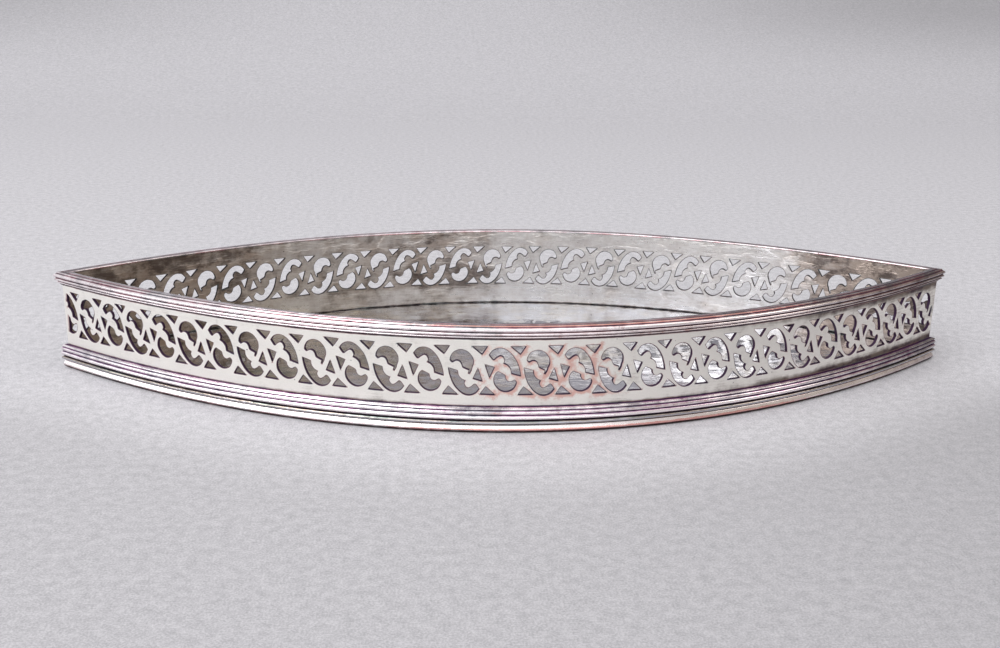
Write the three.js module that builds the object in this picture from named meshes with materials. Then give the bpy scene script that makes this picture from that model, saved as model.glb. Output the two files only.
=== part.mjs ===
// Boat-shaped snuffer tray in silver-plated copper: a flat base plate, an upright gallery pierced with
// scrolls, a reeded wire along the top edge, a reeded moulding round the base and a plain foot band.
// Each side of the tray is a parabola from corner to corner, and the two sides meet in mitred corners.
// Millimetres, +Z up, +X along the tray. The origin is the centre of the face that the tray stands on.

import * as THREE from 'three';
import { mergeVertices } from 'three/addons/utils/BufferGeometryUtils.js';

// Plan: the outer face of the gallery
const halfLength = 125;
const halfWidth = 51.5;

// Sheet, plate and solder
const gallerySheet = 0.8;
const plateThickness = 0.9;
const solderFilm = 0.15;

// Foot band, under the margin of the plate: widest at footBelly, leaning in above it and cut back below
const footHeight = 2.2;
const footWidth = 2.4;
const footReach = 1.25;
const footBelly = 0.8;
const footLean = 0.35;
const footUndercut = 0.7;

// Base plate: how far its rounded edge stands out from the gallery
const plateReach = 1.42;

// Reeded moulding round the foot of the gallery
const baseMouldingHeight = 3.45;
const baseMouldingReach = 1.55;

// Gallery, from its lower edge upwards
const plainFoot = 6.45;
const piercedHeight = 12.55;
const plainTop = 4.85;

// Reeded wire on the top edge of the gallery, which overhangs the inside by wireLip
const wireCap = 0.45;
const wireDrop = 3.1;
const wireReach = 1.5;
const wireLip = 1;

// Pierced pattern: one pitch holds a scroll and the same scroll turned half round. The row was not centred
// on the side, so its middle join lies off the side's middle by rowOffset. Near a corner the openings end
// by endLand, and one left with less than smallestCut square millimetres is not cut.
const scrollPitch = 18.6;
const rowOffset = -1.6;
const cutStep = 1.75;
const endLand = 0.5;
const smallestCut = 0.5;

// Steps along each side, and round each reed
const sideSteps = 24;
const reedSteps = 3;

// Heights that follow
const plateBottom = footHeight + solderFilm;
const floorTop = plateBottom + plateThickness;
const galleryBottom = floorTop + solderFilm;
const galleryTop = galleryBottom + plainFoot + piercedHeight + plainTop;
const bandMiddle = galleryBottom + plainFoot + piercedHeight / 2;

// The side's curve: a point at a place x along it, moved out along the curve's own normal
const slopeAt = (x) => (2 * halfWidth * x) / halfLength ** 2;

function sidePoint(x, out, height) {
  const slope = slopeAt(x);
  const run = Math.hypot(1, slope);
  const curve = -halfWidth * (1 - (x / halfLength) ** 2);
  return new THREE.Vector3(x + (out * slope) / run, curve - out / run, height);
}

// Finds where a rising function of x reaches zero, between two places
function rootBetween(low, high, rising) {
  let a = low;
  let b = high;
  while (b - a > 1e-9) {
    const middle = (a + b) / 2;
    if (rising(middle) < 0) a = middle;
    else b = middle;
  }
  return (a + b) / 2;
}

// The place along the side where a line offset outwards comes within shy of the tray's centre plane
const cornerPlace = (out, shy) =>
  rootBetween(0, 2 * halfLength, (x) => sidePoint(x, out, 0).y + shy);

// Length along the gallery's outer face from the middle of the side
function lengthTo(x) {
  const slope = slopeAt(x);
  const bend = (2 * halfWidth) / halfLength ** 2;
  return (x * Math.hypot(1, slope)) / 2 + Math.asinh(slope) / (2 * bend);
}

const placeAtLength = (length) =>
  rootBetween(-2 * halfLength, 2 * halfLength, (x) => lengthTo(x) - length);

// A closed mesh from points and triangles, with shared corners merged
function closedMesh(points, triangles) {
  const geometry = new THREE.BufferGeometry();
  geometry.setAttribute(
    'position',
    new THREE.Float32BufferAttribute(points.flatMap((point) => point.toArray()), 3),
  );
  geometry.setIndex(triangles.flat());
  const merged = mergeVertices(geometry, 1e-4);
  merged.computeVertexNormals();
  return merged;
}

// A bar of one section that runs along a side and ends square on the centre plane at both corners.
// The section's x is the distance out from the gallery's outer face, and its y is the height.
function sideBar(section) {
  const ring = THREE.ShapeUtils.isClockWise(section) ? section.slice().reverse() : section;
  const ends = ring.map((corner) => cornerPlace(corner.x, solderFilm / 2));
  const points = [];
  const triangles = [];
  for (let step = 0; step <= sideSteps; step += 1) {
    const share = (2 * step) / sideSteps - 1;
    ring.forEach((corner, k) => points.push(sidePoint(share * ends[k], corner.x, corner.y)));
  }
  const count = ring.length;
  for (let step = 0; step < sideSteps; step += 1) {
    for (let k = 0; k < count; k += 1) {
      const here = step * count + k;
      const next = step * count + ((k + 1) % count);
      triangles.push([here, here + count, next + count], [here, next + count, next]);
    }
  }
  const lastRing = sideSteps * count;
  for (const [a, b, c] of THREE.ShapeUtils.triangulateShape(ring, [])) {
    triangles.push([a, b, c], [lastRing + a, lastRing + c, lastRing + b]);
  }
  return closedMesh(points, triangles);
}

// A flat plate of the tray's whole outline, whose edge follows a section of distance out and height,
// listed from the underside upwards
function outlinePlate(edge) {
  const ringAt = (corner) => {
    const end = cornerPlace(corner.x, 0);
    const front = [];
    for (let step = 0; step <= sideSteps; step += 1) {
      front.push(sidePoint(((2 * step) / sideSteps - 1) * end, corner.x, corner.y));
    }
    const back = front.slice(1, -1).map((p) => new THREE.Vector3(-p.x, -p.y, p.z));
    return front.concat(back);
  };
  const rings = edge.map(ringAt);
  const count = rings[0].length;
  const triangles = [];
  for (let layer = 0; layer < rings.length - 1; layer += 1) {
    for (let k = 0; k < count; k += 1) {
      const here = layer * count + k;
      const next = layer * count + ((k + 1) % count);
      triangles.push([here, next, next + count], [here, next + count, here + count]);
    }
  }
  const top = (rings.length - 1) * count;
  const flat = rings[0].map((p) => new THREE.Vector2(p.x, p.y));
  for (const [a, b, c] of THREE.ShapeUtils.triangulateShape(flat, [])) {
    triangles.push([a, c, b], [top + a, top + b, top + c]);
  }
  return closedMesh(rings.flat(), triangles);
}

// Sections

// Rounded reeds down a moulding. Each one starts at top, swells to its reach and ends at bottom, given as
// shares of the moulding's own reach and height.
function addReeds(section, reach, low, tall, reeds) {
  for (const reed of reeds) {
    const [topOut, topUp] = reed.top;
    const [bottomOut, bottomUp] = reed.bottom;
    const swell = 2 * reed.reach - (topOut + bottomOut) / 2;
    section.lineTo(topOut * reach, low + topUp * tall);
    section.quadraticCurveTo(
      swell * reach,
      low + ((topUp + bottomUp) / 2) * tall,
      bottomOut * reach,
      low + bottomUp * tall,
    );
  }
}

// The top wire laps over the sheet's upper edge and hangs down its outer face in three stepped reeds, and
// under the last one it is cut back to the sheet
function wireSection() {
  const seat = galleryTop + solderFilm;
  const top = seat + wireCap;
  const low = galleryTop - wireDrop;
  const inner = -gallerySheet - wireLip;
  const section = new THREE.Shape();
  section.moveTo(inner, seat);
  section.lineTo(inner, top - wireCap / 3);
  section.lineTo(inner + wireCap / 3, top);
  section.lineTo(wireReach / 3, top);
  addReeds(section, wireReach, low, top - low, [
    { top: [0.57, 0.88], reach: 1, bottom: [0.63, 0.56] },
    { top: [0.63, 0.53], reach: 0.75, bottom: [0.5, 0.3] },
    { top: [0.48, 0.27], reach: 0.54, bottom: [0.3, 0.12] },
  ]);
  section.lineTo(solderFilm, low);
  section.lineTo(solderFilm, seat);
  return section.getPoints(reedSteps);
}

// The base moulding stands on the plate's margin and swells downwards in three reeds
function baseSection() {
  const section = new THREE.Shape();
  section.moveTo(solderFilm, galleryBottom);
  section.lineTo(solderFilm, galleryBottom + baseMouldingHeight);
  addReeds(section, baseMouldingReach, galleryBottom, baseMouldingHeight, [
    { top: [0.32, 0.98], reach: 0.77, bottom: [0.69, 0.77] },
    { top: [0.71, 0.74], reach: 0.92, bottom: [0.73, 0.42] },
    { top: [0.76, 0.39], reach: 1, bottom: [0.73, 0.03] },
  ]);
  section.lineTo(0.66 * baseMouldingReach, galleryBottom);
  return section.getPoints(reedSteps);
}

// The foot band is a wire with a leaning outer face and an eased upper corner
function footSection() {
  const ease = footLean / 2;
  const section = new THREE.Shape();
  section.moveTo(footReach - footWidth, 0);
  section.lineTo(footReach - footUndercut, 0);
  section.lineTo(footReach, footBelly);
  section.lineTo(footReach - footLean, footHeight - ease);
  section.lineTo(footReach - footLean - ease, footHeight);
  section.lineTo(footReach - footWidth, footHeight);
  return section.getPoints();
}

// The plate's edge is rounded over, so it shows as one thin bead between the foot and the moulding. On top,
// a flat margin carries the gallery, and the floor begins at the solder line inside it.
function plateEdge() {
  const round = plateThickness / 2;
  const edge = new THREE.Path();
  edge.absarc(plateReach - round, plateBottom + round, round, -Math.PI / 2, Math.PI / 2);
  edge.lineTo(-gallerySheet - solderFilm, floorTop);
  return edge.getPoints(3);
}

// Pierced pattern

// A place in the pattern: across in hundredths of the pitch, up in hundredths of half the pierced height
const spot = ([across, up]) =>
  new THREE.Vector2((across / 100) * scrollPitch, (up / 100) * (piercedHeight / 2));

// A closed opening made of runs that meet in sharp corners: a run of one place is a straight cut, and a
// longer one is a smooth curve
function opening(start, ...runs) {
  const path = new THREE.Path();
  path.moveTo(spot(start).x, spot(start).y);
  for (const run of runs) {
    if (run.length === 1) path.lineTo(spot(run[0]).x, spot(run[0]).y);
    else path.splineThru(run.map(spot));
  }
  return path.curves.flatMap((curve) => {
    const cuts = curve.isLineCurve ? 1 : Math.max(1, Math.round(curve.getLength() / cutStep));
    return curve.getPoints(cuts).slice(0, -1);
  });
}

// The long opening that curls over the scroll, from its hooked head to its square tail
const crescent = opening(
  [-43.6, 65.9],
  [[-38.5, 46], [-34.6, 54], [-29.9, 62], [-25.9, 58.7], [-23.3, 42.9], [-24.7, 31]],
  [[-19.8, 23.8], [-15.7, 7.9], [-14.7, -11.1]],
  [[-2.8, -21.4]],
  [[-4.7, 7.9], [-8.7, 40.5], [-15, 68.3], [-22.8, 87.3], [-30.7, 92.4], [-38.5, 84.1], [-43.6, 65.9]],
);

// The round opening under the scroll
const comma = opening(
  [-31.4, -6.3],
  [[-22.8, -19], [-21.7, -30.2], [-18.9, -42.9], [-13.9, -46.8], [-8.7, -39.7], [-6.3, -48.4]],
  [[-7.4, -62.7], [-11.8, -81], [-20.4, -89.7], [-29.1, -81], [-35.4, -57.9], [-36.6, -34.9],
    [-34.6, -15.9], [-31.4, -6.3]],
);

// The small openings: a dart between two scrolls and a notch at the edge of the band
const dart = opening([-7.5, 9.8], [[-13.7, -33.3]], [[-1.5, -43.8]], [[-7.5, 9.8]]);
const notch = opening([-15.2, 100], [[4.8, 100]], [[-2.6, 66.7]], [[-15.2, 100]]);

// How far each opening sits lower where the scroll is turned, as the punches left them
const crescentDrop = 0.7;
const commaDrop = 0.25;
const dartDrop = 1.15;

const moved = (outline, across, up) =>
  outline.map((p) => new THREE.Vector2(p.x + across, p.y + up));

const turned = (outline, drop) =>
  outline.map((p) => new THREE.Vector2(-p.x, -p.y - drop));

// The solid metal between two scrolls, where one cell of the pattern ends and the next begins
const joinLean = 8;
const facingJoin = [[-joinLean, -100], [joinLean, 100]];
const passingJoin = [[-joinLean, -100], [2.4, -35], [-2.4, 35], [joinLean, 100]];

const cellWidth = scrollPitch / 2;
const stripLow = galleryBottom - bandMiddle;
const stripHigh = galleryTop - bandMiddle;
const joinAt = (number) => rowOffset + number * cellWidth;

// The line from the strip's lower edge to its upper edge at the join with this number
function joinLine(number) {
  const middle = (number % 2 === 0 ? facingJoin : passingJoin).map(spot);
  const lean = spot([joinLean, 0]).x;
  const line = [
    new THREE.Vector2(-lean, stripLow),
    ...middle,
    new THREE.Vector2(lean, stripHigh),
  ];
  return moved(line, joinAt(number), 0);
}

// The openings of the cell to the right of the join with this number
function cellOpenings(number) {
  const left = joinAt(number);
  const right = joinAt(number + 1);
  if (number % 2 === 0) {
    return [
      moved(turned(crescent, crescentDrop), left, 0),
      moved(turned(comma, commaDrop), left, 0),
      moved(turned(notch, 0), left, 0),
      moved(notch, right, 0),
      moved(dart, right, 0),
    ];
  }
  return [
    moved(crescent, right, 0),
    moved(comma, right, 0),
    moved(notch, right, 0),
    moved(turned(notch, 0), left, 0),
    moved(turned(dart, dartDrop), left, 0),
  ];
}

// What is left of an opening on the near side of the last cut before a corner. The cut closes it along
// straight stretches, and an opening whose stretches would lie over each other is left out.
function trimmed(outline, lastCut) {
  const beyond = (p) => Math.abs(p.x) > lastCut;
  const start = outline.findIndex((p) => !beyond(p));
  const kept = [];
  const crossings = [];
  for (let k = 0; k < outline.length && start >= 0; k += 1) {
    const p = outline[(start + k) % outline.length];
    const next = outline[(start + k + 1) % outline.length];
    if (!beyond(p)) kept.push(p);
    if (beyond(p) !== beyond(next)) {
      const limit = Math.sign(p.x) * lastCut;
      const crossing = p.clone().lerp(next, (limit - p.x) / (next.x - p.x));
      kept.push(crossing);
      crossings.push(crossing.y);
    }
  }
  const stretches = [];
  for (let k = 0; k < crossings.length; k += 2) {
    stretches.push([crossings[k], crossings[k + 1]].sort((a, b) => a - b));
  }
  stretches.sort((a, b) => a[0] - b[0]);
  const apart = stretches.every((stretch, k) => k === 0 || stretch[0] > stretches[k - 1][1]);
  const worthCutting = kept.length > 2 && Math.abs(THREE.ShapeUtils.area(kept)) > smallestCut;
  return apart && worthCutting ? kept : null;
}

// The gallery is pierced flat, one cell after another, and then bent to the side's curve
function piercedGallery() {
  const cornerOut = cornerPlace(0, solderFilm / 2);
  const cornerIn = cornerPlace(-gallerySheet, solderFilm / 2);
  const halfRun = lengthTo(cornerOut);
  const lastCut = lengthTo(cornerIn) - endLand;
  const lean = spot([joinLean, 0]).x;
  const firstJoin = Math.ceil((lean - lastCut - rowOffset) / cellWidth);
  const lastJoin = Math.floor((lastCut - lean - rowOffset) / cellWidth);

  const flat = [];
  const places = new Map();
  const indexOf = (p) => {
    const key = `${p.x.toFixed(5)} ${p.y.toFixed(5)}`;
    if (!places.has(key)) {
      places.set(key, flat.length);
      flat.push(p);
    }
    return places.get(key);
  };

  const faces = [];
  for (let number = firstJoin - 1; number <= lastJoin; number += 1) {
    const endLine = (x) => [new THREE.Vector2(x, stripLow), new THREE.Vector2(x, stripHigh)];
    const left = number < firstJoin ? endLine(-halfRun) : joinLine(number);
    const right = number === lastJoin ? endLine(halfRun) : joinLine(number + 1);
    const outline = [...left.reverse(), ...right];
    const holes = cellOpenings(number).map((hole) => trimmed(hole, lastCut)).filter(Boolean);
    const corners = [outline, ...holes].flat();
    for (const face of THREE.ShapeUtils.triangulateShape(outline, holes)) {
      faces.push(face.map((k) => indexOf(corners[k])));
    }
  }

  const edges = new Set();
  for (const face of faces) {
    face.forEach((from, k) => {
      const to = face[(k + 1) % 3];
      if (!edges.delete(`${to} ${from}`)) edges.add(`${from} ${to}`);
    });
  }

  const bend = (p, depth, corner) => {
    const place = THREE.MathUtils.clamp(placeAtLength(p.x), -corner, corner);
    return sidePoint(place, -depth, bandMiddle + p.y);
  };
  const outer = flat.map((p) => bend(p, 0, cornerOut));
  const inner = flat.map((p) => bend(p, gallerySheet, cornerIn));
  const count = flat.length;
  const triangles = [];
  for (const [a, b, c] of faces) {
    triangles.push([a, b, c], [count + a, count + c, count + b]);
  }
  for (const edge of edges) {
    const [from, to] = edge.split(' ').map(Number);
    triangles.push([to, from, count + from], [to, count + from, count + to]);
  }
  return closedMesh([...outer, ...inner], triangles);
}

// Finishes
const brightSilver = { color: 0xcfccc4, roughness: 0.3, metalness: 1 };
const wornSilver = { color: 0xc4b4ac, roughness: 0.35, metalness: 1 };
const floorSilver = { color: 0xb4b2b6, roughness: 0.25, metalness: 1 };

function piece(name, geometry, finish) {
  const mesh = new THREE.Mesh(geometry, new THREE.MeshStandardMaterial(finish));
  mesh.name = name;
  return mesh;
}

// One side of the tray: its gallery, and the wires that run along it
function traySide(side) {
  const group = new THREE.Group();
  group.add(
    piece(`gallery_${side}`, piercedGallery(), brightSilver),
    piece(`rim_wire_${side}`, sideBar(wireSection()), wornSilver),
    piece(`base_moulding_${side}`, sideBar(baseSection()), wornSilver),
    piece(`foot_band_${side}`, sideBar(footSection()), wornSilver),
  );
  return group;
}

const tray = new THREE.Group();
const front = traySide('front');
const back = traySide('back');
back.rotation.z = Math.PI;
tray.add(piece('base_plate', outlinePlate(plateEdge()), floorSilver), front, back);

export default tray;
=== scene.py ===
# Snuffer tray in silver plate on copper: two pierced galleries stand on a flat boat-shaped plate, with a
# reeded wire along their top edge, a reeded moulding round their foot and a plain band under the plate.
# Metres, +Z up, +X along the tray. Places along a side are its length from the side's middle.

import math

import bpy
from mathutils import Matrix, Vector


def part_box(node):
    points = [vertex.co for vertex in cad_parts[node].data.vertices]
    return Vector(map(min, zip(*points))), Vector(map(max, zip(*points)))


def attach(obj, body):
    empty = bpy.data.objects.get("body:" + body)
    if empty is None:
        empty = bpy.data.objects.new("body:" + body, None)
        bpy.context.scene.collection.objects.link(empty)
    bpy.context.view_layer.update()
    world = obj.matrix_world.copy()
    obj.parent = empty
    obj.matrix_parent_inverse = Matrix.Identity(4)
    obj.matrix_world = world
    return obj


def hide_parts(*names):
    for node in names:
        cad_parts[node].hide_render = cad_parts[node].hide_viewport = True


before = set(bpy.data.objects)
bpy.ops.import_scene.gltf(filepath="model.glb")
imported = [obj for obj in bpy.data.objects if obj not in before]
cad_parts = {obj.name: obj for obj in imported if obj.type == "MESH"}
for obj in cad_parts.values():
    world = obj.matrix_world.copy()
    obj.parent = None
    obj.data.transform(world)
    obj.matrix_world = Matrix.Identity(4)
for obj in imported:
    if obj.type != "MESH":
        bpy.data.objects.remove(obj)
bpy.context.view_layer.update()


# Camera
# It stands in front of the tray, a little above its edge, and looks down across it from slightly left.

mm = 0.001
camera_lens = 41.406
camera_distance = 331.4 * mm
camera_height_angle = math.radians(17.605)
camera_turn = math.radians(4.404)
camera_roll = math.radians(0.948)
camera_aim = Vector((-3.18, 0, 11.8)) * mm

ahead = Vector((
    math.sin(camera_turn) * math.cos(camera_height_angle),
    math.cos(camera_turn) * math.cos(camera_height_angle),
    -math.sin(camera_height_angle),
))
level = Vector((math.cos(camera_turn), -math.sin(camera_turn), 0))
upward = level.cross(ahead)
right = math.cos(camera_roll) * level + math.sin(camera_roll) * upward
upright = math.cos(camera_roll) * upward - math.sin(camera_roll) * level
camera_data = bpy.data.cameras.new("camera")
camera_data.lens = camera_lens
camera_data.clip_start = 10 * mm
camera = bpy.data.objects.new("camera", camera_data)
camera.matrix_world = (
    Matrix.Translation(camera_aim - camera_distance * ahead)
    @ Matrix((right, upright, -ahead)).transposed().to_4x4()
)
bpy.context.scene.collection.objects.link(camera)
bpy.context.scene.camera = camera


# Foot bands
# A drawn copper wire, plated, bent to each side and soldered under the margin of the plate. The tray stands
# on it. Its face leans in and copper shows along its belly. The cut-back underneath is painted dark as the
# shadow where the foot meets the paper.

import functools

import numpy as np
from mathutils import noise

half_length = 125 * mm
half_width = 51.5 * mm
mitre_gap = 0.04 * mm
side_steps = 200
foot_width = 2.4 * mm
foot_reach = 1.25 * mm
foot_belly = 0.8 * mm
foot_lean = 0.35 * mm
foot_undercut = 0.7 * mm


def bend_at(x, out):
    """The front side's curve at a place x along it, moved out along the curve's normal, as x and y."""
    slope = 2 * half_width * x / half_length**2
    run = np.hypot(1, slope)
    return x + out * slope / run, -half_width * (1 - (x / half_length) ** 2) - out / run


@functools.cache
def corner_at(out, short_of):
    """How far along the side a line that lies out from the curve comes within short_of of the mitre."""
    low, high = 0.0, 2 * half_length
    while high - low > 1e-9:
        middle = (low + high) / 2
        if bend_at(middle, out)[1] + short_of < 0:
            low = middle
        else:
            high = middle
    return low


def length_to(x):
    """Length along the outer face of a side from its middle to x."""
    slope = 2 * half_width * x / half_length**2
    bend = 2 * half_width / half_length**2
    return x * np.hypot(1, slope) / 2 + np.arcsinh(slope) / (2 * bend)


def new_piece(name, points, faces, marks, sharp_angle=50):
    """A mesh object with smooth faces and named marks, one value or one vector for each point."""
    mesh = bpy.data.meshes.new(name)
    mesh.from_pydata([tuple(p) for p in points], [], faces)
    mesh.update()
    for mark, values in marks.items():
        values = np.asarray(values, dtype=float)
        kind = "FLOAT" if values.ndim == 1 else "FLOAT_VECTOR"
        layer = mesh.attributes.new(mark, kind, "POINT")
        layer.data.foreach_set("value" if values.ndim == 1 else "vector", values.ravel())
    mesh.shade_smooth()
    mesh.set_sharp_from_angle(angle=math.radians(sharp_angle))
    made = bpy.data.objects.new(name, mesh)
    bpy.context.scene.collection.objects.link(made)
    return made


def ramp(value, low, high):
    """A share that rises smoothly from 0 at low to 1 at high."""
    share = min(1.0, max(0.0, (value - low) / (high - low)))
    return share * share * (3 - 2 * share)


def worn(side, length):
    """How far hands have rubbed the silver along a side, by its length in mm from the middle."""
    if side == "back":
        return 0.42
    return 0.2 + 0.8 * ramp(length, -65, 0) * ramp(length, 105, 55)


def corner_darkness(side, length):
    """How far a side is darkened towards its corners: tarnish, and at the right end painted dark reflection
    of the dim side of the room.
    """
    return 0.0 if side == "back" else max(0.3 * ramp(length, -95, -112), 0.9 * ramp(length, 65, 116))


def grimy(side, length):
    """How much dirt is left in a side's grooves. The right half of the front has been cleaned least."""
    return 1.0 if side == "back" else 0.85 + 0.45 * ramp(length, -20, 90)


def side_bar(name, section, side, waver, darkening=0.0):
    """A bar with one section along a side, mitred at both corners. The section lists out, height, rub, dirt
    and dullness round the bar, where the dirt and dullness also carry painted shade, and its dullness counts
    in full only where hands have rubbed. A waver is how far the hand-bent bar strays in from its true line,
    and a darkening how much darker it grows towards its corners."""
    section = np.array(section)
    around = len(section)
    ends = [corner_at(out, mitre_gap / 2) for out in section[:, 0]]
    share = np.linspace(-1, 1, side_steps + 1)
    girth = np.concatenate([[0], np.cumsum(np.hypot(*np.diff(section[:, :2], axis=0).T))])
    turn = 1 if side == "front" else -1
    points, places, rub, dirt_and_shade, dull_and_painted_light = [], [], [], [], []
    for part in share:
        for (out, height, rubbed, dirt_and_shade_share, dullness_and_shade), end, along in zip(section, ends, girth):
            x = part * end
            stray = waver * (1 - part**8) * (noise.noise(Vector((x * 45, height * 90, turn * 7.3))) - 1)
            px, py = bend_at(x, out + stray)
            points.append((turn * px, turn * py, height))
            length = length_to(x) / mm
            places.append((length, along / mm, 0))
            rub.append(rubbed * worn(side, length))
            dirt_and_shade.append(dirt_and_shade_share * grimy(side, length))
            handled = min(1, 0.1 + worn(side, length))
            dull_and_painted_light.append(dullness_and_shade * handled + darkening * corner_darkness(side, length))
    faces = []
    for step in range(side_steps):
        for k in range(around):
            here, there = step * around + k, step * around + (k + 1) % around
            faces.append((here, there, there + around, here + around))
    faces.append(tuple(range(around - 1, -1, -1)))
    faces.append(tuple(side_steps * around + k for k in range(around)))
    return new_piece(name, points, faces, {"place": places, "rub": rub, "dirt_and_shade": dirt_and_shade, "dull_and_painted_light": dull_and_painted_light})


def sockets(tree, inputs, outputs):
    """Names the inputs and outputs of a node group and returns its two end nodes."""
    for name, kind in inputs.items():
        tree.interface.new_socket(name, in_out="INPUT", socket_type="NodeSocket" + kind)
    for name, kind in outputs.items():
        tree.interface.new_socket(name, in_out="OUTPUT", socket_type="NodeSocket" + kind)
    return tree.nodes.new("NodeGroupInput").outputs, tree.nodes.new("NodeGroupOutput").inputs


def put(tree, kind, inputs=(), **settings):
    """Adds a node, sets it and feeds its inputs, each with a value or from another node's output."""
    made = tree.nodes.new(kind)
    for name, value in settings.items():
        setattr(made, name, value)
    for name, value in dict(inputs).items():
        if isinstance(value, bpy.types.NodeSocket):
            tree.links.new(value, made.inputs[name])
        else:
            made.inputs[name].default_value = value
    return made


def calc(tree, operation, *values):
    """The result of one operation on numbers or node outputs."""
    return put(tree, "ShaderNodeMath", dict(enumerate(values)), operation=operation).outputs[0]


def added(tree, *values):
    """The sum of two or more numbers or node outputs."""
    return functools.reduce(lambda total, value: calc(tree, "ADD", total, value), values)


def times(tree, first, second):
    """The product of two numbers or node outputs."""
    return calc(tree, "MULTIPLY", first, second)


def between(tree, value, low, high, start=0.0, end=1.0):
    """A value brought smoothly from low..high to start..end."""
    feeds = {"Value": value, "From Min": low, "From Max": high, "To Min": start, "To Max": end}
    return put(tree, "ShaderNodeMapRange", feeds, interpolation_type="SMOOTHSTEP").outputs[0]


def blend_colour(tree, share, first, second):
    """The first colour where share is 0, and the second where it is 1."""
    made = put(tree, "ShaderNodeMix", {0: share, 6: first, 7: second}, data_type="RGBA")
    return made.outputs[2]


def clouds(tree, place, size, detail=4.0, roughness=0.55, stretch=(1, 1, 1)):
    """Soft cloudy variation with patches of about the given size in millimetres."""
    spread = put(tree, "ShaderNodeMapping", {"Vector": place, "Scale": stretch}).outputs[0]
    feeds = {"Vector": spread, "Scale": 1 / size, "Detail": detail, "Roughness": roughness}
    return put(tree, "ShaderNodeTexNoise", feeds).outputs["Fac"]


def colour(red, green, blue):
    """A colour as it is seen, in 0 to 255, for a node."""
    linear = [((v / 255 + 0.055) / 1.055) ** 2.4 if v > 10 else v / 255 / 12.92 for v in (red, green, blue)]
    return (*linear, 1.0)


# Silver that has been handled for two centuries: cloudy tarnish, plating rubbed through to the copper,
# polish packed into hollows, and the fine lines and dents that cleaning leaves. Place is in millimetres, and
# Height comes out in millimetres too.
aged_plate = bpy.data.node_groups.new("aged_plate", "ShaderNodeTree")
feed, result = sockets(
    aged_plate,
    {
        "Place": "Vector", "Rub": "Float", "Dirt_and_shade": "Float", "Dull_and_painted_light": "Float", "Satin": "Float",
        "Dents": "Float", "Silver": "Color", "Tarnished": "Color", "Copper": "Color", "Stain": "Color",
        "Grime": "Color",
    },
    {"Colour": "Color", "Roughness": "Float", "Metal": "Float", "Height": "Float"},
)
place = feed["Place"]
broad = clouds(aged_plate, place, 16, 5, 0.6)
middling = clouds(aged_plate, place, 3.2, 5, 0.6)
fine = clouds(aged_plate, place, 0.35, 4, 0.7)
streaks = clouds(aged_plate, place, 1.6, 6, 0.75, (0.22, 3.2, 1))
speckle = calc(aged_plate, "SUBTRACT", middling, 0.5)

# Tarnish comes in clouds, thickest where the metal is dull, with darker stains in the thickest of it. The
# dull mark also carries painted shade and painted light, which show as more or less tarnish.
cloudy = added(aged_plate, times(aged_plate, broad, 1.1), times(aged_plate, middling, 0.8),
               times(aged_plate, streaks, 0.8), -1.35, times(aged_plate, feed["Dull_and_painted_light"], 0.8))
bloom = between(aged_plate, cloudy, 0.05, 1.0)
silvered = blend_colour(aged_plate, bloom, feed["Silver"], feed["Tarnished"])
flecks = between(aged_plate, fine, 0.4, 0.8, 0, 0.10)
silvered = blend_colour(aged_plate, flecks, silvered, feed["Tarnished"])
stains = between(aged_plate, clouds(aged_plate, place, 6, 7, 0.7, (0.6, 1, 1)), 0.46, 0.6, 0, 0.7)
stains = times(aged_plate, stains, calc(aged_plate, "POWER", bloom, 1.6))
silvered = blend_colour(aged_plate, stains, silvered, feed["Grime"])

# Copper shows in grains where the silver is rubbed through.
grains = times(aged_plate, calc(aged_plate, "SUBTRACT", fine, 0.5), 0.5)
through = added(aged_plate, feed["Rub"], times(aged_plate, speckle, 1.1), grains)
through = between(aged_plate, through, 0.42, 0.80)
coppered = blend_colour(aged_plate, times(aged_plate, through, 0.85), silvered, feed["Copper"])

# A tint, cooler in places, lies round the dirt, and old polish is packed in hollows and in a few pits. The
# dirt mark also carries painted shade, which shows in the same grime colour.
dirt_and_shade_share = added(aged_plate, feed["Dirt_and_shade"], times(aged_plate, speckle, 0.9))
near_dirt = times(aged_plate, between(aged_plate, dirt_and_shade_share, 0.1, 0.5),
                  between(aged_plate, feed["Dirt_and_shade"], 0.02, 0.2, 0, 0.8))
cool = between(aged_plate, broad, 0.48, 0.6, 0, 0.8)
ring_tint = blend_colour(aged_plate, cool, feed["Stain"], colour(96, 130, 132))
ringed = blend_colour(aged_plate, near_dirt, coppered, ring_tint)
pits = put(aged_plate, "ShaderNodeTexVoronoi", {"Vector": place, "Scale": 0.45}).outputs["Distance"]
pits = times(aged_plate, between(aged_plate, pits, 0.10, 0.05),
             between(aged_plate, middling, 0.52, 0.62))
packed_and_shade = calc(aged_plate, "MAXIMUM", between(aged_plate, dirt_and_shade_share, 0.45, 0.85), pits)
aged_plate.links.new(blend_colour(aged_plate, packed_and_shade, ringed, feed["Grime"]), result["Colour"])

# Tarnish and streaks are rougher than clean silver, and packed polish and painted shade are no longer metal.
rough = added(aged_plate, between(aged_plate, streaks, 0.3, 0.75, 0.85, 1.25), times(aged_plate, bloom, 0.5))
rough = times(aged_plate, rough, feed["Satin"])
rough = calc(aged_plate, "MAXIMUM", rough, times(aged_plate, packed_and_shade, 0.62))
aged_plate.links.new(rough, result["Roughness"])
metal = calc(aged_plate, "SUBTRACT", 1.0, times(aged_plate, packed_and_shade, 0.6))
aged_plate.links.new(metal, result["Metal"])

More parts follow.
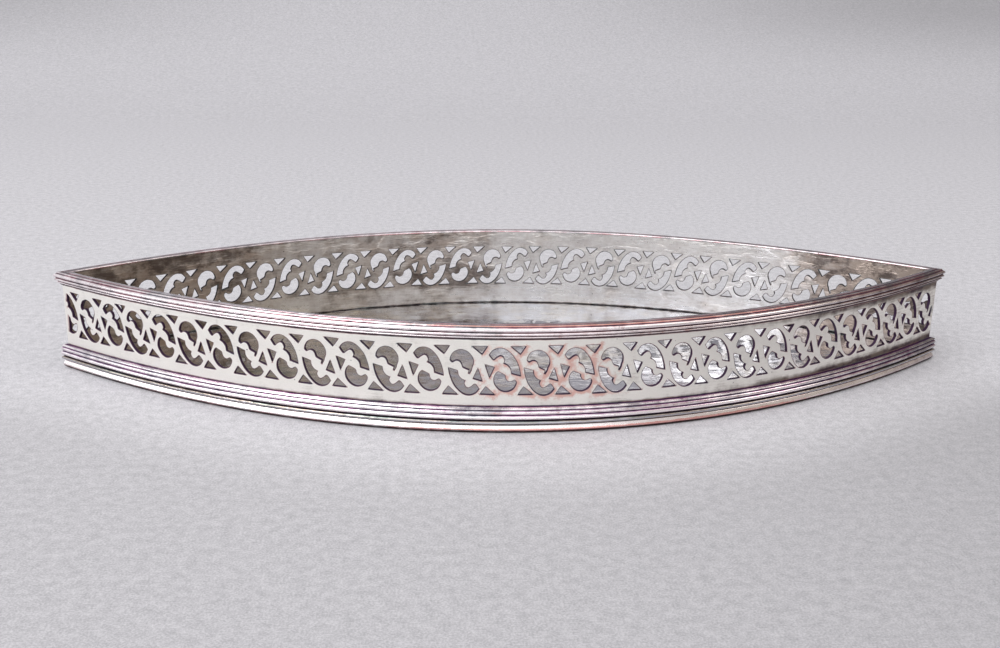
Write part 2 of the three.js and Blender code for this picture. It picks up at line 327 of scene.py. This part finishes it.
# Shallow dents and fine creases follow the sheet, with streaks and pits on top.
folds = clouds(aged_plate, place, 7, 4, 0.55, (0.45, 1.3, 1))
off_fold = calc(aged_plate, "ABSOLUTE", calc(aged_plate, "SUBTRACT", folds, 0.5))
creases = times(aged_plate, between(aged_plate, off_fold, 0.06, 0),
                between(aged_plate, bloom, 0.2, 0.9, 0.007, 0.026))
dented = clouds(aged_plate, place, 9, 2, 0.4, (0.7, 1, 1))
height = added(aged_plate, times(aged_plate, dented, 0.12), times(aged_plate, middling, 0.002), creases)
height = added(aged_plate, times(aged_plate, height, feed["Dents"]), times(aged_plate, streaks, 0.002))
height = calc(aged_plate, "SUBTRACT", height, times(aged_plate, pits, 0.01))
aged_plate.links.new(height, result["Height"])


def plated(name, satin, dents, **tints):
    """A plated finish. Satin is the roughness where the silver is clean, and dents how deep its dents are.
    The tints are silver, tarnished, copper, stain (the tint round the dirt) and grime, which also colours
    painted shade."""
    finish = bpy.data.materials.new(name)
    finish.use_nodes = True
    tree = finish.node_tree
    shader = tree.nodes["Principled BSDF"]
    skin = put(tree, "ShaderNodeGroup", node_tree=aged_plate)
    for mark, outlet in (("place", "Vector"), ("rub", "Fac"), ("dirt_and_shade", "Fac"), ("dull_and_painted_light", "Fac")):
        marked = put(tree, "ShaderNodeAttribute", attribute_name=mark)
        tree.links.new(marked.outputs[outlet], skin.inputs[mark.capitalize()])
    skin.inputs["Satin"].default_value = satin
    skin.inputs["Dents"].default_value = dents
    for part, tint in tints.items():
        skin.inputs[part.capitalize()].default_value = colour(*tint)
    tree.links.new(skin.outputs["Colour"], shader.inputs["Base Color"])
    tree.links.new(skin.outputs["Roughness"], shader.inputs["Roughness"])
    tree.links.new(skin.outputs["Metal"], shader.inputs["Metallic"])
    bump = put(tree, "ShaderNodeBump", {"Height": skin.outputs["Height"], "Strength": 1.0, "Distance": mm})
    tree.links.new(bump.outputs["Normal"], shader.inputs["Normal"])
    return finish


foot_low, foot_high = (corner.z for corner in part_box("foot_band_front"))
# The dirt and dullness of the lowest four rows are painted contact shadow under the foot, in the grime
# colour.
foot_section = [
    (foot_reach - foot_width, foot_low, 0, 0.8, 0.3),
    (foot_reach - foot_undercut, foot_low, 0, 1, 0.3),
    (foot_reach - 0.5 * foot_undercut, foot_low + 0.45 * foot_belly, 0, 1, 0.3),
    (foot_reach - 0.15 * foot_undercut, foot_low + 0.85 * foot_belly, 0.3, 0.85, 0),
    (foot_reach, foot_low + 1.15 * foot_belly, 1, 0.1, 0),
    (foot_reach - 0.25 * foot_lean, foot_low + 1.5 * foot_belly, 0.8, 0, 0),
    (foot_reach - 0.7 * foot_lean, foot_low + 2.0 * foot_belly, 0.1, 0, 0),
    (foot_reach - foot_lean, foot_low + 2.35 * foot_belly, 0.2, 0, 0),
    (foot_reach - 1.3 * foot_lean, foot_high - 0.1 * foot_belly, 0.2, 0.4, 0),
    (foot_reach - 2 * foot_lean, foot_high, 0, 1, 0),
    (foot_reach - foot_width, foot_high, 0, 1, 0),
]
foot_finish = plated("foot_silver", 0.24, 0.3, silver=(252, 244, 244), tarnished=(150, 134, 134),
                     copper=(226, 160, 152), stain=(170, 92, 92), grime=(44, 14, 18))
for side in ("front", "back"):
    band = side_bar(f"{side}_foot_band", foot_section, side, 0.03 * mm, 0.6)
    band.data.materials.append(foot_finish)
    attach(band, "root")
    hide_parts(f"foot_band_{side}")


# Base plate
# One flat sheet cut to the tray's outline. Its rounded edge shows as a bead between the foot band and the
# moulding, and its upper face is the polished floor that the snuffers lie on.

plate_reach = 1.42 * mm
plate_low, plate_high = (corner.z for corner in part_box("base_plate"))
plate_round = (plate_high - plate_low) / 2
plate_rows = 40
plate_sag = 0.12 * mm


def plate_ring(out, height):
    """A closed line round the tray, out from both sides' curves."""
    end = corner_at(out, 0)
    front = [bend_at(part * end, out) for part in np.linspace(-1, 1, side_steps + 1)]
    back = [(-x, -y) for x, y in front[1:-1]]
    return [(x, y, height) for x, y in front + back]


def floor_wear(x, y):
    """The floor's rub and dirt at a place. One patch right of the middle is rubbed, and stains lie towards
    the front on the left half."""
    in_from_front = (y - bend_at(x, 0)[1]) / mm
    from_patch = math.hypot((x / mm - 35) / 40, (in_from_front - 22) / 34)
    stained = ramp(in_from_front, 65, 30) * ramp(x / mm, 30, -30)
    return 0.1 + 0.7 * ramp(from_patch, 1.0, 0.3), 0.26 * stained


def make_plate():
    """Rings run round the rounded edge, and a grid of rows fills the floor and the underside."""
    rings = []
    for angle in np.linspace(-90, 90, 9):
        turn = math.radians(angle)
        rings.append((plate_reach - plate_round + plate_round * math.cos(turn),
                      (plate_low + plate_high) / 2 + plate_round * math.sin(turn),
                      0.4 * math.cos(turn), abs(math.sin(turn)) ** 2))
    points, places, rub, dirt_and_shade, faces = [], [], [], [], []
    around = 2 * side_steps
    for out, height, rubbed, dirt_and_shade_share in rings:
        for x, y, z in plate_ring(out, height):
            points.append((x, y, z))
            places.append((x / mm, y / mm, z / mm))
            rub.append(rubbed)
            dirt_and_shade.append(dirt_and_shade_share)
    for layer in range(len(rings) - 1):
        for k in range(around):
            here, there = layer * around + k, layer * around + (k + 1) % around
            faces.append((here, there, there + around, here + around))
    for first, upper in ((0, False), ((len(rings) - 1) * around, True)):
        grid = []
        for step in range(1, side_steps):
            near, far = first + step, first + (around - step)
            row = [near]
            for k in range(1, plate_rows):
                start, end = np.array(points[near]), np.array(points[far])
                x, y, z = start + (end - start) * k / plate_rows
                inward = min(k, plate_rows - k, step, side_steps - step) / 5
                sag = plate_sag * min(1, inward) * noise.noise(Vector((x * 22, y * 30, 2.5))) if upper else 0
                points.append((x, y, z - abs(sag)))
                places.append((x / mm, y / mm, z / mm))
                rubbed, dirt_and_shade_share = floor_wear(x, y) if upper else (0.1, 0.0)
                rub.append(rubbed)
                dirt_and_shade.append(dirt_and_shade_share)
                row.append(len(points) - 1)
            grid.append(row + [far])
        left, right_end = first, first + side_steps
        for a, b in zip(grid, grid[1:]):
            for k in range(plate_rows):
                quad = (a[k], b[k], b[k + 1], a[k + 1])
                faces.append(quad if upper else quad[::-1])
        for k in range(plate_rows):
            tip = (left, grid[0][k], grid[0][k + 1])
            faces.append(tip if upper else tip[::-1])
            tip = (right_end, grid[-1][k + 1], grid[-1][k])
            faces.append(tip if upper else tip[::-1])
    on_floor = plate_high - 0.3 * mm
    dull_and_painted_light = [0.35 + 0.45 * ramp(x / mm, 5, -70) if z > on_floor else 0.1 for x, y, z in points]
    return new_piece("floor_plate", points, faces, {"place": places, "rub": rub, "dirt_and_shade": dirt_and_shade, "dull_and_painted_light": dull_and_painted_light})


plate = make_plate()
# The floor isn't worn through to the copper: where it is rubbed, the silver under its tarnish is bright.
plate_finish = plated("floor_silver", 0.065, 3.0, silver=(182, 182, 190), tarnished=(194, 180, 157),
                      copper=(220, 219, 225), stain=(180, 163, 148), grime=(38, 24, 34))
plate.data.materials.append(plate_finish)
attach(plate, "root")
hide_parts("base_plate")


# Galleries
# Plated sheet pierced with a running scroll. Each opening was cut by hand with punches and a fine saw, so
# copper shows in its cut edge and no two are quite alike. The sheet was then bent and soldered upright.

import random

from mathutils.geometry import delaunay_2d_cdt
from mathutils.kdtree import KDTree

gallery_sheet = 0.8 * mm
gallery_low, gallery_high = (corner.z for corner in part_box("gallery_front"))
plain_foot = 6.45 * mm
pierced_height = 12.55 * mm
scroll_pitch = 18.6 * mm
cell_width = scroll_pitch / 2
row_offset = -1.6 * mm
band_middle = gallery_low + plain_foot + pierced_height / 2
cells_each_way = 16
cut_step = 0.3 * mm
border_step = 1.2 * mm
grid_step = 1.1 * mm
edge_round = 0.1 * mm
end_land = 0.35 * mm
halo_width = 2.6 * mm
outline_width = 0.25 * mm
moulding_top = 3.45 * mm
wire_drop = 3.1 * mm
seam_width = 0.3 * mm
gallery_wave = 0.1 * mm


def spot(across, up):
    """A place in the pattern: hundredths of the pitch across, hundredths of half the pierced height up."""
    return np.array((across / 100 * scroll_pitch, up / 100 * pierced_height / 2))


def opening(start, *runs):
    """The outline of an opening. A run of one place is a straight cut, and a longer one a smooth curve."""
    outline = []
    here = spot(*start)
    for run in runs:
        stops = [here] + [spot(*place) for place in run]
        padded = [stops[0]] + stops + [stops[-1]]
        for k in range(len(stops) - 1):
            a, b, c, d = padded[k : k + 4]
            count = max(1, round(np.linalg.norm(c - b) / cut_step))
            for t in np.arange(count) / count:
                if len(run) == 1:
                    outline.append(b + (c - b) * t)
                else:
                    outline.append(0.5 * (2 * b + (c - a) * t + (2 * a - 5 * b + 4 * c - d) * t**2
                                          + (3 * b - a - 3 * c + d) * t**3))
        here = stops[-1]
    return np.array(outline)


crescent = opening(
    (-43.6, 65.9),
    [(-38.5, 46), (-34.6, 54), (-29.9, 62), (-25.9, 58.7), (-23.3, 42.9), (-24.7, 31)],
    [(-19.8, 23.8), (-15.7, 7.9), (-14.7, -11.1)],
    [(-2.8, -21.4)],
    [(-4.7, 7.9), (-8.7, 40.5), (-15, 68.3), (-22.8, 87.3), (-30.7, 92.4), (-38.5, 84.1), (-43.6, 65.9)],
)
comma = opening(
    (-31.4, -6.3),
    [(-22.8, -19), (-21.7, -30.2), (-18.9, -42.9), (-13.9, -46.8), (-8.7, -39.7), (-6.3, -48.4)],
    [(-7.4, -62.7), (-11.8, -81), (-20.4, -89.7), (-29.1, -81), (-35.4, -57.9), (-36.6, -34.9),
     (-34.6, -15.9), (-31.4, -6.3)],
)
tailed_comma = opening(
    (-31.4, -6.3),
    [(-25.5, -14.2)],
    [(-22.8, -19), (-21.7, -30.2), (-18.9, -42.9), (-13.9, -46.8), (-8.7, -39.7), (-6.3, -48.4)],
    [(-7.4, -62.7), (-11.8, -81), (-20.4, -89.7), (-29.1, -81), (-35.4, -57.9), (-36.6, -34.9),
     (-34.6, -15.9), (-33.9, -6.3)],
    [(-31.4, 8.2)],
    [(-30.2, 7.2)],
    [(-31.4, -6.3)],
)
dart = opening((-7.5, 9.8), [(-13.7, -33.3)], [(-1.5, -43.8)], [(-7.5, 9.8)])
notch = opening((-15.2, 100), [(4.8, 100)], [(-2.6, 66.7)], [(-15.2, 100)])
crescent_drop = 0.7 * mm
comma_drop = 0.25 * mm
dart_drop = 1.15 * mm


def turned(outline, drop):
    """An opening turned half round and lowered a little."""
    return -outline - np.array((0, drop))


def hand_cut(outline, across, chance):
    """An opening at its place in the row, a little off true in size, angle and place."""
    middle = outline.mean(axis=0)
    angle = math.radians(chance.gauss(0, 1.1))
    grown = 0.985 + chance.gauss(0, 0.012)
    spin = np.array(((math.cos(angle), -math.sin(angle)), (math.sin(angle), math.cos(angle)))) * grown
    stray = np.array((chance.gauss(0, 0.07), chance.gauss(0, 0.06))) * mm
    return (outline - middle) @ spin.T + middle + stray + np.array((across, 0))


def row_openings(chance):
    """Every opening of one gallery, cell by cell from its left end."""
    made = []
    for number in range(-cells_each_way, cells_each_way):
        left = row_offset + number * cell_width
        right_side = left + cell_width
        if number % 2 == 0:
            cell = [(turned(crescent, crescent_drop), left), (turned(tailed_comma, comma_drop), left),
                    (turned(notch, 0), left), (notch, right_side), (dart, right_side)]
        else:
            cell = [(crescent, right_side), (comma, right_side), (notch, right_side),
                    (turned(notch, 0), left), (turned(dart, dart_drop), left)]
        made += [hand_cut(outline, across, chance) for outline, across in cell]
    return made


def cut_at(outline, limit):
    """What is left of an opening short of a corner: the piece of its outline on the near side of limit."""
    inside = np.abs(outline[:, 0]) <= limit
    if inside.all():
        return outline
    if not inside.any():
        return None
    start = int(np.argmax(inside & ~np.roll(inside, 1)))
    ordered = np.roll(outline, -start, axis=0)
    kept = [p for p in ordered if abs(p[0]) <= limit]
    return np.array(kept) if len(kept) > 12 else None


def drawn_in(outline, by):
    """An outline moved along its own normals to its right-hand side."""
    before, after = np.roll(outline, 1, axis=0), np.roll(outline, -1, axis=0)
    first, second = outline - before, after - outline
    first /= np.linalg.norm(first, axis=1)[:, None] + 1e-12
    second /= np.linalg.norm(second, axis=1)[:, None] + 1e-12
    normal = np.stack(((first + second)[:, 1], -(first + second)[:, 0]), axis=1)
    size = np.linalg.norm(normal, axis=1)[:, None] + 1e-12
    reach = np.minimum(2 / size, 1.6)
    return outline + normal / size * by * reach


def area(outline):
    """The area inside an outline, below 0 where it runs clockwise."""
    after = np.roll(outline, -1, axis=0)
    return float(np.sum(outline[:, 0] * after[:, 1] - after[:, 0] * outline[:, 1])) / 2


def make_gallery(side, seed, show_copper, tarnish_and_light, edge_dirt):
    """One gallery. Copper and tarnish, with the painted shade and light that the tarnish carries, are shares
    by place: length along the side, height above the lower edge and depth below the upper edge, all in
    millimetres. Edge dirt is what lies round its openings."""
    chance = random.Random(seed)
    outer_end = length_to(corner_at(0, mitre_gap / 2))
    inner_end = corner_at(-gallery_sheet, mitre_gap / 2)
    limit = length_to(inner_end) - end_land
    holes = [cut_at(hole, limit) for hole in row_openings(chance)]
    holes = [hole if area(hole) < 0 else hole[::-1] for hole in holes if hole is not None]
    low, high = gallery_low - band_middle, gallery_high - band_middle
    along_edge = np.arange(-outer_end, outer_end, border_step)
    up_edge = np.linspace(low, high, 20)[:-1]
    down_edge = np.linspace(high, low, 20)[:-1]
    border = np.array([(x, low) for x in along_edge] + [(outer_end, z) for z in up_edge]
                      + [(-x, high) for x in along_edge] + [(-outer_end, z) for z in down_edge])

    # The flat sheet: its border and openings, then points between them, closer together round the openings
    # and along the two soldered seams.
    loops = [border] + holes
    corners, rings, starts = [], [], []
    for number, loop in enumerate(loops):
        starts.append(len(corners))
        ring = [starts[-1] + k for k in range(len(loop))]
        rings.append(ring if number == 0 else ring[::-1])
        corners += list(loop if number == 0 else drawn_in(loop, -edge_round))
    near = KDTree(sum(len(hole) for hole in holes))
    count = 0
    for hole in holes:
        for x, z in hole:
            near.insert((x, z, 0), count)
            count += 1
    near.balance()
    seams = (low + moulding_top, high - wire_drop)
    rows = list(np.arange(low + grid_step / 2, high, grid_step))
    rows += [seam + side_step * seam_width for seam in seams for side_step in (-2, -1, 0, 1, 2)]
    around = [p for hole in holes for p in drawn_in(hole, -outline_width)]
    corners += [p for p in around if abs(p[0]) < limit and near.find((*p, 0))[2] > 0.8 * outline_width]
    for x in np.arange(-outer_end + grid_step / 2, outer_end, grid_step):
        for z in rows:
            if near.find((x, z, 0))[2] > 1.4 * outline_width:
                corners.append(np.array((x, z)))
    flat, _, triangles, sources, _, lies_in = delaunay_2d_cdt(
        [Vector(p) for p in corners], [], rings, 1, 1e-7
    )
    triangles = [triangle for triangle, owners in zip(triangles, lies_in) if list(owners) == [0]]
    lookup = {}
    for k, source in enumerate(sources):
        for original in source:
            lookup[original] = k
    flat = [(p.x, p.y) for p in flat]

    # The sheet is bent to the side's curve. Copper fades out from an opening, a little further to its lower
    # right, and dirt lies round the openings. The dark line along the seams is solder and dirt, with painted
    # shadow where the rim wire and the moulding meet the outer face.
    table_x = np.linspace(-half_length * 1.02, half_length * 1.02, 4001)
    table_s = length_to(table_x)
    turn = 1 if side == "front" else -1
    points, places, rub, dirt_and_shade, dull_and_painted_light = [], [], [], [], []

    def add(x, z, depth, cut):
        end_here = corner_at(-depth, mitre_gap / 2)
        along = float(np.clip(np.interp(x, table_s, table_x), -end_here, end_here))
        wave = gallery_wave * noise.noise(Vector((along * 28, z * 60, turn * 3.1)))
        px, py = bend_at(along, -depth + wave * (1 - (along / end_here) ** 8))
        points.append((turn * px, turn * py, band_middle + z))
        edge, _, gap = near.find((x, z, 0))
        lower_right = (0.8 * (x - edge.x) - 0.6 * (z - edge.y)) / max(gap, 0.01 * mm)
        halo = max(0.0, 1 - gap / halo_width) * (0.75 + 0.25 * lower_right)
        places.append((x / mm, z / mm, depth / mm + cut))
        rub.append(1.0 if cut else halo * show_copper(x / mm))
        joint = min(abs(z - seam) for seam in seams) if depth == 0 else z - low
        packed_and_shade = max(0.9 * (1 - joint / seam_width), edge_dirt * (1 - gap / outline_width))
        # The cut faces are dark all through: oxidised copper core, with painted shade inside the cut.
        dirt_and_shade.append(1.0 if cut else max(0.0, packed_and_shade))
        dull_and_painted_light.append(tarnish_and_light(x / mm, (z - low) / mm, (high - z) / mm))
        return len(points) - 1

    # Both faces come from the flat sheet. The border closes them straight, and each opening has rounded
    # edges.
    outer = [add(x, z, 0, 0) for x, z in flat]
    inner = [add(x, z, gallery_sheet, 0) for x, z in flat]
    faces = []
    for triangle in triangles:
        a, b, c = triangle
        faces.append((outer[a], outer[b], outer[c]))
        faces.append((inner[a], inner[c], inner[b]))
    for number, loop in enumerate(loops):
        count = len(loop)
        front_line = [outer[lookup[starts[number] + k]] for k in range(count)]
        back_line = [inner[lookup[starts[number] + k]] for k in range(count)]
        lines = [front_line]
        if number > 0:
            rounding = [(0.3, 0.3), (0, 1)]
            for keep, deep in rounding:
                line = drawn_in(loop, -edge_round * keep)
                lines.append([add(x, z, deep * edge_round, 1) for x, z in line])
            for keep, deep in reversed(rounding):
                line = drawn_in(loop, -edge_round * keep)
                lines.append([add(x, z, gallery_sheet - deep * edge_round, 1) for x, z in line])
        lines.append(back_line)
        for upper, lower in zip(lines, lines[1:]):
            for k in range(count):
                there = (k + 1) % count
                faces.append((upper[there], upper[k], lower[k], lower[there]))
    marks = {"place": places, "rub": rub, "dirt_and_shade": dirt_and_shade, "dull_and_painted_light": dull_and_painted_light}
    return new_piece(f"{side}_gallery", points, faces, marks, sharp_angle=15)


def front_copper(length):
    """Copper shows round the openings a little right of the middle."""
    return 0.15 + 0.85 * ramp(abs(length - 6), 30, 10)


def front_tarnish_and_shade(length, up, down):
    """The plain strips above and below the scrolls darken towards the right corner: tarnish, with painted
    shade under the rim wire and a painted dark reflection in the lower strip. Grey creeps up from the base
    moulding in one patch on each side of the middle, and the right end is darker still, as tarnish and
    painted dark reflection."""
    strips = max(ramp(up, 5.8, 3.4), 0.6 * ramp(down, 5.4, 3.6))
    creep = ramp(up, 4.3, 3.5) * max(ramp(abs(length + 50), 32, 12), ramp(abs(length - 27), 20, 8))
    return 0.05 + 1.4 * strips * ramp(length, 34, 88) + 0.3 * ramp(length, 80, 120) + 0.8 * creep


def back_copper(length):
    """Hardly any copper shows on the back side."""
    return 0.1


def back_tarnish_and_light(length, up, down):
    """Tarnish thickens towards the left corner of the inner face and again at the right one. The plain strip
    under the scrolls is painted lighter where it catches the light, and one spot low at the left is a painted
    glint. The back gallery is the front one turned half round, so its lengths run from right to left."""
    left_half = 0.54 * ramp(length, -4, 10) - 0.26 * ramp(length, 35, 55) + 0.42 * ramp(length, 62, 100)
    painted_light_strip = 0.4 * ramp(up, 6.5, 4.5) * ramp(abs(length - 22), 40, 12)
    painted_glint = 0.9 * ramp(up, 6, 3.5) * ramp(abs(length - 68), 7, 2)
    return max(0, 0.36 + left_half + 0.9 * ramp(length, -85, -112) - painted_light_strip - painted_glint)


front_silver = plated("front_gallery_silver", 0.4, 0.4, silver=(248, 245, 239), tarnished=(124, 112, 104),
                      copper=(226, 176, 164), stain=(184, 146, 142), grime=(54, 28, 58))
back_silver = plated("back_gallery_silver", 0.29, 3.2, silver=(255, 255, 254), tarnished=(172, 158, 148),
                     copper=(176, 120, 100), stain=(178, 166, 160), grime=(34, 22, 28))
for side, seed, finish, show_copper, tarnish_and_light, edge_dirt in (
    ("front", 11, front_silver, front_copper, front_tarnish_and_shade, 1.35),
    ("back", 12, back_silver, back_copper, back_tarnish_and_light, 1.3),
):
    gallery = make_gallery(side, seed, show_copper, tarnish_and_light, edge_dirt)
    gallery.data.materials.append(finish)
    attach(gallery, "root")
    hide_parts(f"gallery_{side}")


# Base mouldings
# A drawn wire with three reeds, bent round the foot of each gallery and soldered to it and to the plate.
# Polish has packed dark into the lines between its reeds.

base_low, base_high = (corner.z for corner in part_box("base_moulding_front"))
base_reach = 1.46 * mm
solder_film = 0.15 * mm
reed_steps = 9
line_depth = 0.12 * mm


def reeds(reach, low, high, rows):
    """Rounded reeds down a moulding. Each row is a reed's top, greatest reach and bottom, as shares of the
    moulding's own reach and height, and then its rub and its dullness. A narrow line is cut between one
    reed and the next."""
    section = []
    tall = high - low
    for number, (top_out, top_up, swell, bottom_out, bottom_up, rubbed, dullness_and_shade) in enumerate(rows):
        if number:
            middle = (section[-1][1] + low + top_up * tall) / 2
            section.append((section[-1][0] - line_depth, middle, 0, 1.0, 0.3))
        control = 2 * swell - (top_out + bottom_out) / 2
        for t in np.linspace(0, 1, reed_steps):
            out = (1 - t) ** 2 * top_out + 2 * t * (1 - t) * control + t**2 * bottom_out
            up = (1 - t) ** 2 * top_up + t * (1 - t) * (top_up + bottom_up) + t**2 * bottom_up
            hollow = max(0.0, abs(2 * t - 1) - 0.35) / 0.65
            crest = math.sin(math.pi * t)
            section.append((out * reach, low + up * tall, rubbed * crest, 1.1 * hollow**2.6, dullness_and_shade))
    return section


# The dullness of the upper two reeds is painted shade: it greys them as if they mirrored a dimmer part of the
# room.
base_section = (
    [(solder_film, base_low, 0, 1, 0), (solder_film, base_high, 0, 0.8, 0)]
    + reeds(base_reach, base_low, base_high, [
        (0.32, 0.98, 0.77, 0.69, 0.77, 0.3, 0.6), (0.71, 0.74, 0.92, 0.73, 0.42, 0.5, 0.4),
        (0.76, 0.39, 1, 0.73, 0.03, 0.2, 0),
    ])
    + [(0.66 * base_reach, base_low, 0, 1, 0)]
)
moulding_finish = plated("moulding_silver", 0.15, 0.5, silver=(255, 247, 250), tarnished=(136, 130, 136),
                         copper=(206, 134, 122), stain=(176, 96, 158), grime=(52, 12, 58))
for side in ("front", "back"):
    moulding = side_bar(f"{side}_base_moulding", base_section, side, 0.05 * mm, 0.8)
    moulding.data.materials.append(moulding_finish)
    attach(moulding, "root")
    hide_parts(f"base_moulding_{side}")


# Rim wires
# A drawn wire that laps over each gallery's upper edge and hangs down its outer face in three stepped
# reeds. Its top band is rubbed most, and copper shows in a thin line along it.

rim_low, rim_high = (corner.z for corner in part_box("rim_wire_front"))
rim_reach = 1.44 * mm
rim_cap = 0.45 * mm
rim_lip = 1.0 * mm
rim_seat = rim_high - rim_cap
rim_inner = -gallery_sheet - rim_lip
rim_line = -0.05 * mm
rim_section = (
    [
        (-gallery_sheet, rim_seat, 0, 1, 0.5),
        (rim_inner, rim_seat, 0.4, 0.6, 0.5),
        (rim_inner, rim_high - rim_cap / 2.2, 0.6, 0.3, 1),
        (rim_inner + rim_cap / 8, rim_high - rim_cap / 6, 0.8, 0, 1),
        (rim_inner + rim_cap / 2.2, rim_high, 0.45, 0.1, 1),
        (rim_line - 0.3 * mm, rim_high, 0.45, 0.3, 1),
        (rim_line - 0.2 * mm, rim_high - line_depth, 0, 1, 0.6),
        (rim_line + 0.15 * mm, rim_high - line_depth, 0, 1, 0),
        (rim_line + 0.3 * mm, rim_high - 0.03 * mm, 0.4, 0.1, 0.5),
        (0.4 * rim_reach, rim_high - 0.05 * mm, 0.8, 0, 0.5),
        (0.52 * rim_reach, rim_high - 0.2 * mm, 1, 0.3, 0.5),
    ]
    + reeds(rim_reach, rim_low, rim_high, [
        (0.6, 0.88, 1, 0.72, 0.56, 0.42, 0.2), (0.72, 0.53, 0.92, 0.58, 0.3, 0.45, 0.2),
        (0.52, 0.27, 0.64, 0.36, 0.12, 0.5, 0.1),
    ])
    + [(solder_film, rim_low, 0, 1, 0), (solder_film, rim_seat, 0, 1, 0)]
)[::-1]
rim_finish = plated("rim_silver", 0.15, 0.5, silver=(246, 237, 239), tarnished=(156, 142, 144),
                    copper=(190, 134, 118), stain=(178, 116, 124), grime=(50, 16, 36))
for side in ("front", "back"):
    rim = side_bar(f"{side}_rim_wire", rim_section, side, 0.05 * mm, 1.0)
    rim.data.materials.append(rim_finish)
    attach(rim, "root")
    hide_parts(f"rim_wire_{side}")


# Floor, backdrop and light
# Pale paper that sweeps up behind the tray. A window at the upper left and a broad light overhead do most of
# the lighting. A weak one stands at the right, and two low ones, in front and at the left, light the sides.

paper_front = -1.8
paper_depth = 0.5
paper_curve = 0.9
paper_height = 1.6
paper_half = 1.6


def make_paper():
    """A strip that lies flat under the tray and turns up in a quarter circle behind it."""
    line = [(paper_front, 0.0), (0.0, 0.0), (paper_depth, 0.0)]
    for angle in np.linspace(0, 90, 25)[1:]:
        turn = math.radians(angle)
        line.append((paper_depth + paper_curve * math.sin(turn), paper_curve * (1 - math.cos(turn))))
    line.append((paper_depth + paper_curve, paper_height))
    points = [(x, y, z) for y, z in line for x in (-paper_half, paper_half)]
    faces = [(2 * k, 2 * k + 1, 2 * k + 3, 2 * k + 2) for k in range(len(line) - 1)]
    return new_piece("paper", points, faces, {})


paper = make_paper()
paper_look = bpy.data.materials.new("paper")
paper_look.use_nodes = True
tree = paper_look.node_tree
spot_on_paper = put(tree, "ShaderNodeTexCoord").outputs["Object"]
ground = put(tree, "ShaderNodeVectorMath", {0: spot_on_paper, 1: (1000,) * 3},
             operation="MULTIPLY").outputs[0]
mottle = clouds(tree, ground, 2.4, 3, 0.6)
grain = clouds(tree, ground, 0.45, 2, 0.7)
tone = added(tree, times(tree, mottle, 0.35), times(tree, grain, 0.65))
flecked = blend_colour(tree, between(tree, tone, 0.3, 0.7), colour(181, 180, 184), colour(227, 225, 229))

# Painted shade: the paper is made a little greyer in front of the tray, more so to the right, and where it
# rises at each side, as where less light reaches it.
along = put(tree, "ShaderNodeSeparateXYZ", {0: ground}).outputs
bow = times(tree, calc(tree, "POWER", along["X"], 2.0), half_width / half_length**2 * mm)
bow = calc(tree, "SMOOTH_MIN", bow, half_width / mm, 30)
out_from_tray = calc(tree, "SUBTRACT", calc(tree, "SUBTRACT", bow, along["Y"]), half_width / mm)
in_front = between(tree, out_from_tray, 4, 48)
to_right = between(tree, along["X"], -60, 150, 0.24, 0.42)
off_middle = calc(tree, "ABSOLUTE", added(tree, along["X"], 25))
aside = between(tree, off_middle, 60, 540, 0.06, 0.4)
high_up = times(tree, between(tree, along["Z"], 12, 75), aside)
painted_paper_shade = calc(tree, "MAXIMUM", times(tree, in_front, to_right), high_up)
shaded = blend_colour(tree, painted_paper_shade, flecked, colour(120, 118, 120))
tree.links.new(shaded, tree.nodes["Principled BSDF"].inputs["Base Color"])
tree.nodes["Principled BSDF"].inputs["Roughness"].default_value = 0.9
tree.nodes["Principled BSDF"].inputs["Specular IOR Level"].default_value = 0.1
paper.data.materials.append(paper_look)


def soft_light(name, place, aim, width, depth, power, tint):
    """A flat lamp at a place, turned towards its aim. Its power is in watts."""
    lamp = bpy.data.lights.new(name, "AREA")
    lamp.shape = "RECTANGLE"
    lamp.size, lamp.size_y = width, depth
    lamp.energy = power
    lamp.color = tint
    light = bpy.data.objects.new(name, lamp)
    light.location = place
    light.rotation_mode = "QUATERNION"
    light.rotation_quaternion = (Vector(aim) - Vector(place)).to_track_quat("-Z", "Y")
    bpy.context.scene.collection.objects.link(light)


soft_light("window", (-0.85, -0.75, 1.0), (0, 0, 0), 1.0, 1.0, 10.4, (0.98, 0.99, 1.0))
soft_light("overhead", (0.0, 0.1, 1.3), (0, 0.1, 0), 2.0, 1.7, 8.9, (1.0, 1.0, 1.0))
soft_light("right", (1.0, -0.4, 0.7), (0, 0, 0), 0.5, 0.5, 1.4, (1.0, 0.97, 0.95))
soft_light("left", (-1.25, -0.5, 0.2), (-0.1, 0, 0.015), 0.8, 0.3, 2.4, (0.98, 0.99, 1.0))
soft_light("front", (-0.3, -1.3, 0.22), (0, 0, 0.015), 2.2, 0.35, 3.9, (1.0, 1.0, 0.99))

# The room is bright and cool where the window is, and dim and warm on the other side. Polished metal shows it
# at full strength.
window_side = Vector((-0.78, -0.55, 0.3)).normalized()
world = bpy.data.worlds.new("room")
bpy.context.scene.world = world
world.use_nodes = True
tree = world.node_tree
outward = put(tree, "ShaderNodeTexCoord").outputs["Generated"]
facing = put(tree, "ShaderNodeVectorMath", {0: outward, 1: window_side},
             operation="DOT_PRODUCT").outputs["Value"]
room_colour = blend_colour(tree, between(tree, facing, -0.35, 0.75), colour(174, 166, 157),
                           colour(250, 251, 255))
ray = put(tree, "ShaderNodeLightPath").outputs
seen = calc(tree, "MAXIMUM", calc(tree, "MAXIMUM", ray["Is Camera Ray"], ray["Is Glossy Ray"]),
            ray["Is Transmission Ray"])
background = tree.nodes["Background"].inputs
tree.links.new(room_colour, background["Color"])
tree.links.new(between(tree, seen, 0, 1, 0.58, 1), background["Strength"])

bpy.context.scene.view_settings.view_transform = "Standard"
